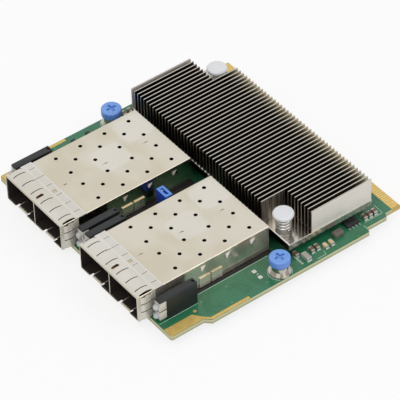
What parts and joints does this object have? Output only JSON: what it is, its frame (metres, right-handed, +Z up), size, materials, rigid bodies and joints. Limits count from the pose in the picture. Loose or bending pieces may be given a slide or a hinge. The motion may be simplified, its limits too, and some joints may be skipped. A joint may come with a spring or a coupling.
{
  "type": "mezzanine network card",
  "caption": "Mezzanine network card with double transceiver cages, finned heatsink, indicator blocks, captive thumbscrews and a contact tongue on a stepped board.",
  "frame": {"origin": "under the middle of the card, level with the tips of the push pins", "axes": "+X along the row of ports to the right seen from the mouth, +Y from the mouth to the contact tongue, +Z up from the board"},
  "size_m": [0.0924, 0.092, 0.0179],
  "materials": {
    "board": "green solder mask on glass laminate",
    "gold": "gold plating",
    "cage_steel": "tin-plated sheet",
    "black_plastic": "moulded black",
    "dark_plastic": "moulded dark grey",
    "lamp": "pale diffusing resin",
    "aluminium": "milled, bare",
    "spring_steel": "drawn wire",
    "white_nylon": "white nylon",
    "blue_plastic": "moulded blue",
    "plated_steel": "nickel plate",
    "tin": "tin plate",
    "tan_ceramic": "fired ceramic",
    "brown_ceramic": "fired ceramic",
    "ferrite": "pressed ferrite",
    "thermal_pad": "soft filled silicone",
    "chip_black": "moulded epoxy"
  },
  "bodies": {
    "card": {"cage_collar_left": "cage_steel", "cage_collar_right": "cage_steel", "cage_divider_left": "cage_steel", "cage_divider_right": "cage_steel", "cage_floor_left": "cage_steel", "cage_floor_right": "cage_steel", "cage_shell_left": "cage_steel", "cage_shell_right": "cage_steel", "capacitor_bodies": "brown_ceramic", "capacitor_ends": "tin", "circuit_board": "board", "controller_lid": "plated_steel", "controller_substrate": "board", "edge_contacts_bottom": "gold", "edge_contacts_top": "gold", "ground_pads": "gold", "heatsink": "aluminium", "jumper_cap": "blue_plastic", "jumper_header": "black_plastic", "jumper_pins": "tin", "led_holder_1": "dark_plastic", "led_holder_2": "dark_plastic", "led_holder_3": "dark_plastic", "led_holder_4": "dark_plastic", "led_lamps_1": "lamp", "led_lamps_2": "lamp", "led_lamps_3": "lamp", "led_lamps_4": "lamp", "port_connector_1": "black_plastic", "port_connector_2": "black_plastic", "port_connector_3": "black_plastic", "port_connector_4": "black_plastic", "port_contacts_1": "gold", "port_contacts_2": "gold", "port_contacts_3": "gold", "port_contacts_4": "gold", "power_inductor": "ferrite", "push_pin_front": "white_nylon", "push_pin_rear": "white_nylon", "push_pin_spring_front": "spring_steel", "push_pin_spring_rear": "spring_steel", "regulator_chip": "chip_black", "regulator_leads": "tin", "screw_ferrule_left": "plated_steel", "screw_ferrule_right": "plated_steel", "small_chips": "chip_black", "tan_capacitor_bodies": "tan_ceramic", "tan_capacitor_ends": "tin", "thermal_pad": "thermal_pad"},
    "left_lift": {"screw_spring_left": "spring_steel"},
    "left_screw": {"thumbscrew_knob_left": "blue_plastic", "captive_screw_left": "plated_steel"},
    "right_lift": {"screw_spring_right": "spring_steel"},
    "right_screw": {"thumbscrew_knob_right": "blue_plastic", "captive_screw_right": "plated_steel"}
  },
  "joints": [
    {"name": "left_screw_lift", "type": "slide", "parent": "card", "child": "left_lift", "axis": [0, 0, 1], "range_m": [-0.0019, 0], "stiffness_N_per_m": 500, "deforming": ["screw_spring_left"]},
    {"name": "left_screw_turn", "type": "hinge", "parent": "left_lift", "child": "left_screw", "pos_m": [-0.04265, -0.0005, 0.00457], "axis": [0, 0, 1], "continuous": true},
    {"name": "right_screw_lift", "type": "slide", "parent": "card", "child": "right_lift", "axis": [0, 0, 1], "range_m": [-0.0019, 0], "stiffness_N_per_m": 500, "deforming": ["screw_spring_right"]},
    {"name": "right_screw_turn", "type": "hinge", "parent": "right_lift", "child": "right_screw", "pos_m": [0.04265, -0.0005, 0.00457], "axis": [0, 0, 1], "continuous": true}
  ]
}
